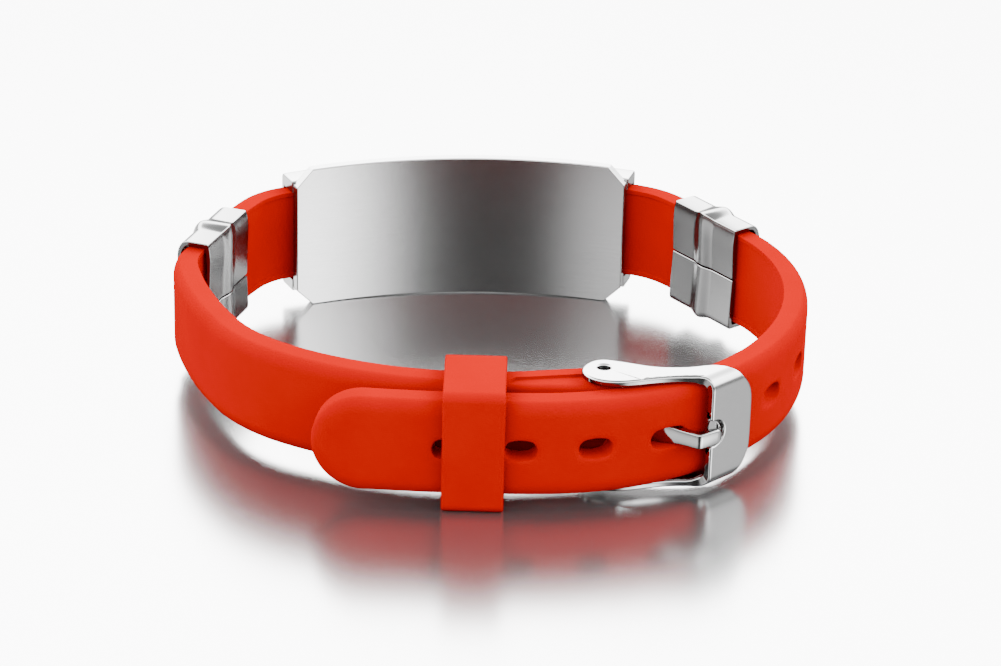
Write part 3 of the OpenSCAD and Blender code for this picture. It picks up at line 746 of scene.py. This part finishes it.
def layLines(piece, centre):
    # Map for the brushing: u up the piece, v round its axis, so the lines run along v
    mesh = piece.data
    spots = np.empty(len(mesh.vertices) * 3)
    mesh.vertices.foreach_get("co", spots)
    corner = np.empty(len(mesh.loops), dtype=np.int64)
    mesh.loops.foreach_get("vertex_index", corner)
    x, y, z = (spots.reshape(-1, 3)[corner] - centre).T
    lines = np.stack([z * plateLook["lineScale"], np.arctan2(x, y)], -1)
    mesh.uv_layers.new(name="plateLines").data.foreach_set("uv", lines.ravel())


buildPlate()


# Buckle

# Outlines in millimetres. Pin end, back edge and front edge: along the arm from the pin, then
# across it. Near the bend and on it: along the crossbar, then run from the bend's start.
frameLook = {
    "pinEnd": [[3.5, 1.03], [2.4, 1.38], [1.3, 1.68], [0.4, 1.9], [-0.6, 1.8], [-1.5, 1.2],
        [-2.15, 0.2], [-2.35, -0.85], [-2.0, -1.95], [-1.25, -2.75], [-0.3, -3.22],
        [0.8, -3.42], [2.0, -3.38], [3.5, -3.02]],
    "back": [[3.5, 1.03], [4.4, 0.75], [5.5, 0.52], [6.7, 0.46], [8.0, 0.51], [9.5, 0.72]],
    "backBend": [[2.1, -1.44], [3.0, -0.84]],
    "front": [[3.5, -3.02], [5.1, -2.54], [6.6, -2.15], [8.1, -1.92], [9.4, -1.85]],
    "frontBend": [[-0.9, -0.19]],
    "far": [[0, 3.6], [0.5, 3.83], [1.19, 4.4], [2.0, 4.9], [2.48, 5.3], [3.48, 5.9],
        [4.48, 6.15], [5.28, 6.2], [8.4, 6.2]],
    "near": [[0, -0.68], [0.5, -0.3], [0.9, -0.1], [1.4, 0.02], [2.1, 0.08], [8.4, 0.08]],
    "cellWidth": 2.9, "cellHalf": 2.3, "hole": 1.35, "bevel": 0.26,
    "curveSteps": 8, "endSteps": 34, "armRows": 22, "bendRows": 11, "barRows": 5,
    "cellRows": 6, "cellColumns": 6, "sideColumns": 6,
}


def smoothThrough(points):
    # Catmull-Rom through the points, open at both ends
    points = np.asarray(points, float)
    p = np.vstack([2 * points[0] - points[1], points, 2 * points[-1] - points[-2]])
    t = np.linspace(0, 1, frameLook["curveSteps"], endpoint=False)[None, :, None]
    a, b, c, d = p[:-3, None], p[1:-2, None], p[2:-1, None], p[3:, None]
    out = 0.5 * (2 * b + (c - a) * t + (2 * a - 5 * b + 4 * c - d) * t ** 2
        + (3 * b - 3 * c + d - a) * t ** 3)
    return np.vstack([out.reshape(-1, 2), points[-1:]])


def evenly(curve, count):
    # The same curve at even arc lengths
    run = np.append(0, np.cumsum(np.linalg.norm(np.diff(curve, axis=0), axis=1)))
    at = np.linspace(0, run[-1], count)
    return np.stack([np.interp(at, run, curve[:, k]) for k in (0, 1)], -1)


def foldSheet(w, q):
    # Flat blank to bent sheet: q < 0 lies on the arm, then angle q / R, then down the crossbar
    plan = bucklePlan
    radius, top = plan["bendOutside"], midZ + plan["height"] / 2
    turn = np.clip(q / radius, 0, math.pi / 2)
    fall = np.clip(q - radius * math.pi / 2, 0, None)
    out = plan["barThickness"] - radius + np.minimum(q, 0)
    base = barIn + (w - plan["barWidth"] / 2)[..., None] * barSide
    outerFlat = base + (out + radius * np.sin(turn))[..., None] * barLocal
    outerZ = top - radius * (1 - np.cos(turn)) - fall
    # Inner face: below the same plan point on the arm, its own quarter circle in the corner
    small = plan["bendInside"]
    start = np.arcsin(np.clip((out + small) / small, 0, 1))
    inTurn = start + (math.pi / 2 - start) * turn / (math.pi / 2)
    innerFlat = base + np.where(q > 0, small * (np.sin(inTurn) - 1), out)[..., None] * barLocal
    innerZ = top - plan["armThickness"] - small * (1 - np.cos(inTurn))
    innerZ = innerZ - fall * (innerZ - midZ) / (top - radius - midZ)
    return raised(outerFlat, outerZ), raised(innerFlat, innerZ)


def onArm(rows):
    # pin + a (the arm's direction) + b (its left)
    rows = np.array(rows)
    return pin + rows[:, :1] * unit(armTurn) + rows[:, 1:] * unit(armTurn + 90)


def armEdge(edge, last):
    # Even points along an edge of the arm, up to the first point of the bend
    bend = np.array(frameLook[edge + "Bend"])
    bent = foldSheet(bend[:, 0], bend[:, 1])[0][:, :2]
    curve = smoothThrough(np.vstack([onArm(frameLook[edge]), bent, last]))
    return evenly(curve, frameLook["armRows"] + 1)[:-1]


def buildFrame():
    # Upper half: rows near + (far - near) share, folded down; the lower half mirrors it
    look, plan = frameLook, bucklePlan
    radius, small = plan["bendOutside"], plan["bendInside"]
    top = midZ + plan["height"] / 2
    under = top - plan["armThickness"]
    bendRun = radius * math.pi / 2
    midRun = bendRun + top - radius - midZ
    cellRows, cellColumns = look["cellRows"], look["cellColumns"]

    # Rows on the bend and the crossbar, the last ones spanning half the notch's cell
    cellFrom = midRun - look["cellHalf"]
    q = np.concatenate([np.linspace(0, bendRun, look["bendRows"]),
        np.linspace(bendRun, cellFrom, look["barRows"])[1:],
        np.linspace(cellFrom, midRun, cellRows + 1)[1:]])
    near, far = (np.interp(q, *smoothThrough(look[key]).T) for key in ("near", "far"))
    split = (look["cellWidth"] - near[-1]) / (far[-1] - near[-1])
    columns = np.concatenate([np.linspace(0, split, cellColumns + 1),
        np.linspace(split, 1, look["sideColumns"])[1:]])
    w = near[:, None] + (far - near)[:, None] * columns
    outer, inner = foldSheet(w, np.broadcast_to(q[:, None], w.shape))

    # Rows on the arm: straight lines between its two edges
    back, front = armEdge("back", outer[:1, -1, :2]), armEdge("front", outer[:1, 0, :2])
    flat = front[:, None] + (back - front)[:, None] * columns[None, :, None]
    outer = np.concatenate([raised(flat, top), outer])
    into = (flat - barIn) @ barLocal
    drop = small - np.sqrt(small ** 2 - np.clip(into + small, 0, small) ** 2)
    inner = np.concatenate([raised(flat, under - drop), inner])
    rows, base = outer.shape[:2]
    quads = gridFaces(rows, base, band)
    cell = np.zeros(quads.shape[:2], bool)
    plain = rows - 1 - cellRows
    cell[plain:, :cellColumns] = True

    # Ring between the pin hole and the arm's round end
    end = evenly(smoothThrough(onArm(look["pinEnd"])), look["endSteps"])[1:-1]
    away = np.vstack([flat[0], end]) - pin
    hole = pin + look["hole"] / 2 * away / np.linalg.norm(away, axis=1)[:, None]
    endIndex = rows * base + np.arange(len(end))
    rimIndex = np.concatenate([np.arange(base), endIndex])
    holeIndex = endIndex[-1] + 1 + np.arange(len(hole))
    ring = closedBand(rimIndex, holeIndex)
    extra = np.vstack([end, hole])
    outerAll = np.concatenate([outer.reshape(-1, 3), raised(extra, top)])
    innerAll = np.concatenate([inner.reshape(-1, 3), raised(extra, under)])
    twin = len(outerAll)

    # Walls: both long edges, the round end and the hole
    nearEdge = np.arange(rows) * base
    endPath = np.concatenate([[base - 1], endIndex, [0]])
    walls = [band(path, path + twin) for path in (nearEdge[:plain + 1], nearEdge + base - 1,
        endPath, np.append(holeIndex, holeIndex[0]))]

    # Notch: arch of the notch's half width round the middle, then straight to the near edge
    halfNotch = plan["notchWidth"] / 2
    count = cellRows + cellColumns
    phi = np.radians(np.linspace(0, 90, count))
    archW = np.append(plan["notchLength"] - halfNotch + halfNotch * np.cos(phi), near[-1])
    archZ = midZ + np.append(halfNotch * np.sin(phi), halfNotch)
    surface = (barIn - plan["barWidth"] / 2 * barSide + archW[:, None] * barSide
        + plan["barThickness"] * barLocal)
    floor = surface - plan["notchDepth"] * barLocal
    notch = [raised(surface, archZ), raised(floor, archZ), raised(floor, midZ)]
    a = 2 * twin + np.arange(count + 1)
    b, c = a + count + 1, a + 2 * (count + 1)
    cellRim = np.concatenate([(rows - 1 - np.arange(cellRows)) * base + cellColumns,
        plain * base + np.arange(cellColumns, -1, -1)])
    strips = [band(cellRim, a), band(a, b), band(b, c)]
    nearFace = [cellRim[-1], a[-1], b[-1], c[-1]] + list(nearEdge[:plain - 1:-1] + twin)
    points = np.concatenate([outerAll, innerAll] + notch)
    quads = np.concatenate([quads[~cell], quads.reshape(-1, 4) + twin, ring, ring + twin]
        + walls + strips)

    # The lower half mirrors the upper one about mid height
    mirrored = points * [1, 1, -1] + [0, 0, 2 * midZ]
    step = len(points)
    makePiece("buckleFrameSteel", np.concatenate([points, mirrored]),
        np.concatenate([quads, quads + step]), [nearFace, [k + step for k in nearFace]],
        buckleSteel, ["buckle_frame"], "buckle_steel", bevel=look["bevel"], clamp=False)


tongueLook = {
    "width": 1.7, "thickness": 0.8, "bow": 0.5, "rootGrow": 0.26, "rootShare": (0.55, 0.8),
    "kink": (-1.92, 0.12), "kinkCut": 0.22, "loopWall": 0.75, "tipLength": 2.9, "tipTurn": 8.0,
    "tipRound": 0.8, "tipDrop": 0.3, "tipRows": 9, "tipSweep": 86, "bowRows": 10,
    "bevel": 0.12, "sharp": 24,
}
turnSteps = 40


def bezier(start, middle, end, count):
    # (1 - t)^2 start + 2 t (1 - t) middle + t^2 end
    t = np.linspace(0, 1, count)[:, None]
    return (1 - t) ** 2 * start + 2 * t * (1 - t) * middle + t ** 2 * end


def buildTongue():
    # Path: bowed parabola, tight bend, straight tip whose sides close on a quarter circle
    look, rows = tongueLook, tongueLook["tipRows"]
    # The kink lies before the crossbar's near edge: along the crossbar, then out from its face
    bend = (barIn - bucklePlan["barWidth"] / 2 * barSide + look["kink"][0] * barSide
        + (bucklePlan["barThickness"] + look["kink"][1]) * barLocal)
    way = (bend - pin) / np.linalg.norm(bend - pin)
    inward = np.array([-way[1], way[0]])
    tipWay = unit(barOut + 90 - look["tipTurn"])
    tip = bend + look["tipLength"] * tipWay
    pinHole = bucklePlan["pin"] / 2 + clearance
    loopR = pinHole + look["loopWall"]
    root = pin + (loopR - look["thickness"] / 2) * way
    bowed = bezier(root, (root + bend) / 2 + 2 * look["bow"] * inward, bend,
        look["bowRows"])
    last = (bend - bowed[-2]) / np.linalg.norm(bend - bowed[-2])
    curve = bezier(bend - look["kinkCut"] * last, bend, bend + look["kinkCut"] * tipWay, 5)
    turn = np.radians(np.linspace(0, look["tipSweep"], rows))
    path = np.vstack([bowed[:-1], curve,
        tip - (look["tipRound"] * (1 - np.sin(turn)))[:, None] * tipWay])
    halfW = np.full(len(path), look["width"] / 2)
    shareFrom, shareTo = look["rootShare"]
    fade = (shareTo - np.linspace(0, 1, look["bowRows"])[:-1]) / (shareTo - shareFrom)
    halfW[:len(fade)] += look["rootGrow"] * np.clip(fade, 0, 1)
    halfW[-rows:] -= look["tipRound"] * (1 - np.cos(turn))
    thick = np.full(len(path), look["thickness"])
    thick[-rows:] -= look["tipDrop"] * (1 - np.cos(turn))
    step = np.gradient(path, axis=0)
    heading = step / np.linalg.norm(step, axis=1)[:, None]
    normal = np.stack([heading[:, 1], -heading[:, 0]], -1)
    # Section: rectangle whose outer corners are cut by a small round
    shape = np.array([[-1, 0], [1, 0], [1, 0.78], [0.93, 0.93], [0.78, 1], [-0.78, 1],
        [-0.93, 0.93], [-1, 0.78]])
    off = shape[None, :, 1] * thick[:, None] - look["thickness"] / 2
    bar = raised(path[:, None, :] + off[..., None] * normal[:, None, :],
        midZ + shape[None, :, 0] * halfW[:, None])
    quads, caps = tube(bar)
    count = bar.size // 3
    around = unit(np.linspace(0, 360, turnSteps, endpoint=False))
    low, high = midZ - look["width"] / 2, midZ + look["width"] / 2
    ring = [raised(pin + radius * around, level) for radius, level in
        ((loopR, low), (loopR, high), (pinHole, high), (pinHole, low))]
    j = count + np.arange(turnSteps)
    quads = np.concatenate([quads, count + gridFaces(4, turnSteps).reshape(-1, 4),
        closedBand(3 * turnSteps + j, j)])
    makePiece("buckleTongueSteel", np.concatenate([bar.reshape(-1, 3)] + ring), quads, caps,
        buckleSteel, ["buckle_tongue"], "buckle_steel", bevel=look["bevel"],
        sharp=look["sharp"])


pinLook = {"axis": 0.001, "dish": 0.12, "dishRound": (0.5, 0.62), "edge": 0.08}


def buildSpringBar():
    # Profile (radius, z) turned about the pin's axis, with a shallow dish in each end
    look, plan = pinLook, bucklePlan
    reach = plan["height"] / 2 - plan["armThickness"] + plan["pinIn"]
    r = plan["pin"] / 2
    dish, edge = look["dish"], look["edge"]
    floor, rim = look["dishRound"]
    lower = np.array([[look["axis"], dish], [r * floor, dish], [r * rim, 0], [r - edge, 0],
        [r, edge]])
    profile = np.concatenate([lower + [0, midZ - reach],
        lower[::-1] * [1, -1] + [0, midZ + reach]])
    around = unit(np.linspace(0, 360, turnSteps, endpoint=False))
    points = raised(pin + profile[:, None, :1] * around[None], profile[:, 1:])
    makePiece("springBarSteel", points, *tube(points), paintedShadePinSteel, ["spring_bar"], "buckle_steel")


buildFrame()
buildTongue()
buildSpringBar()


# Floor, lights and camera

# Sky levels by sine of the elevation and by angle round from the front, in degrees
studio = {
    "strength": 18.0,
    "sky": [(-1, 0.1), (1, 0.05), (0.0, 0.04), (0.12, 0.10), (0.25, 0.7), (0.36, 1.0), (0.62, 1.0),
        (0.74, 0.45), (0.84, 0.08)],
    "open": [(-180, 1.0), (180, 1.0), (-110, 0.9), (-50, 0.4), (0, 0.28), (50, 0.4), (110, 0.9)],
    "round": [(-180, 0.2), (180, 0.2), (-150, 0.4), (-120, 0.27), (-90, 0.2), (-60, 0.16),
        (-36, 0.18), (-5, 0.25), (42, 0.95), (62, 0.5), (80, 0.14), (92, 0.12),
        (104, 0.03), (125, 0.04), (155, 0.12)],
    "gap": [(-180, 1.0), (180, 1.0), (-40, 1.0), (-31, 0.7), (-20, 0.06), (-10, 0.0), (4, 0.0),
        (17, 0.06), (31, 0.6), (46, 1.0)],
    "softboxes": [("leftSoftbox", (-0.35, -0.5, 0.4), 5.5),
        ("rightSoftbox", (0.45, -0.35, 0.4), 3.5)],
    "softboxSize": 0.45, "softboxAim": (0, 0, 0.01),
    "floorHalf": 3.0, "floorTone": 0.62, "floorRoughness": 0.21, "floorGloss": 0.97,
}


def buildFloor():
    # Square about the origin, at height 0
    mesh = bpy.data.meshes.new("studioFloor")
    half = studio["floorHalf"]
    mesh.from_pydata([(-half, -half, 0), (half, -half, 0), (half, half, 0), (-half, half, 0)], [],
        [(0, 1, 2, 3)])
    floor = addObject("studioFloor", mesh)
    material, tree, shader = startMaterial("glossyWhiteFloor")
    plug(tree, shader, {
        "Base Color": (*[studio["floorTone"]] * 3, 1), "Roughness": studio["floorRoughness"],
        "Metallic": studio["floorGloss"]})
    mesh.materials.append(material)


def addSoftLight(name, place, power):
    # Square lamp that looks from its place at the bracelet
    light = bpy.data.lights.new(name, "AREA")
    light.shape = "RECTANGLE"
    light.size = light.size_y = studio["softboxSize"]
    light.energy = power
    lamp = addObject(name, light)
    lamp.location = place
    lamp.visible_glossy = False
    way = Vector(studio["softboxAim"]) - Vector(place)
    lamp.rotation_euler = way.to_track_quat("-Z", "Y").to_euler()


def levelRamp(tree, share, stops):
    # Level read off the stops, straight lines between them
    node = addNode(tree, "ShaderNodeValToRGB", {"Fac": share})
    elements = node.color_ramp.elements
    for k, (at, level) in enumerate(stops):
        stop = elements[k] if k < 2 else elements.new(at)
        stop.position = at
        stop.color = (level, level, level, 1)
    return node.outputs["Color"]


def buildStudio():
    # Sky by direction: level by height (sine of the elevation) x level by angle round the object
    world = bpy.data.worlds.new("studioWorld")
    bpy.context.scene.world = world
    world.use_nodes = True
    tree = world.node_tree
    way = addNode(tree, "ShaderNodeTexCoord").outputs["Object"]
    parts = addNode(tree, "ShaderNodeSeparateXYZ", {0: way}).outputs
    height = addNode(tree, "ShaderNodeMapRange", {"Value": parts["Z"], "From Min": -1.0})
    byHeight = levelRamp(tree, height.outputs[0],
        [((at + 1) / 2, level) for at, level in studio["sky"]])
    # Angle from straight in front, as a share of the turn from -180 to 180 degrees
    around = sums(tree, "ARCTAN2", parts["X"], sums(tree, "MULTIPLY", parts["Y"], -1.0))
    around = addNode(tree, "ShaderNodeMapRange", {
        "Value": around, "From Min": -math.pi, "From Max": math.pi}).outputs[0]
    # What is mirrored by way of the floor or another piece is darker, with a gap in front
    openSky, roundSky, gap = (
        levelRamp(tree, around, [(turn / 360 + 0.5, level) for turn, level in studio[key]])
        for key in ("open", "round", "gap"))
    path = addNode(tree, "ShaderNodeLightPath").outputs
    met = sums(tree, "ADD", path["Is Glossy Ray"], path["Is Diffuse Ray"])
    second = sums(tree, "GREATER_THAN", sums(tree, "SUBTRACT", path["Ray Depth"], met), 1.5)
    byTurn = addNode(tree, "ShaderNodeMix", {
        "Factor": second, 2: openSky, 3: sums(tree, "MULTIPLY", roundSky, gap)})
    total = sums(tree, "MULTIPLY", sums(tree, "MULTIPLY", byHeight, byTurn.outputs[0]),
        studio["strength"])
    plug(tree, tree.nodes["Background"], {"Color": (1, 1, 1, 1), "Strength": total})
    for name, place, power in studio["softboxes"]:
        addSoftLight(name, place, power)


cameraPlan = {"elevation": 25.44, "azimuth": -4.84, "distance": 399.9, "aim": (2.86, 0.0, 5.5),
    "roll": 1.444, "lens": 127.9, "sensor": 36, "nearest": 0.01}


def buildCamera():
    # Camera fitted in the bracelet's own frame, then turned and moved as the bracelet lies
    plan = cameraPlan
    e, a, roll = (math.radians(plan[key]) for key in ("elevation", "azimuth", "roll"))
    back = np.array([math.cos(e) * math.sin(a), -math.cos(e) * math.cos(a), math.sin(e)])
    right = np.array([math.cos(a), math.sin(a), 0.0])
    up = np.cross(back, right)
    axes = np.stack([math.cos(roll) * right + math.sin(roll) * up,
        math.cos(roll) * up - math.sin(roll) * right, back], 1)
    matrix = np.eye(4)
    matrix[:3, :3] = [[1, 0, 0], [0, tiltCos, -tiltSin], [0, tiltSin, tiltCos]] @ axes
    matrix[:3, 3] = asItLies(np.array(plan["aim"]) + plan["distance"] * back)
    data = bpy.data.cameras.new("productCamera")
    data.lens = plan["lens"]
    data.sensor_width = plan["sensor"]
    data.clip_start = plan["nearest"]
    data.dof.use_dof = False
    camera = addObject("productCamera", data)
    camera.matrix_world = Matrix(matrix.tolist())
    bpy.context.scene.camera = camera


buildFloor()
buildStudio()
buildCamera()
print("scene ready")
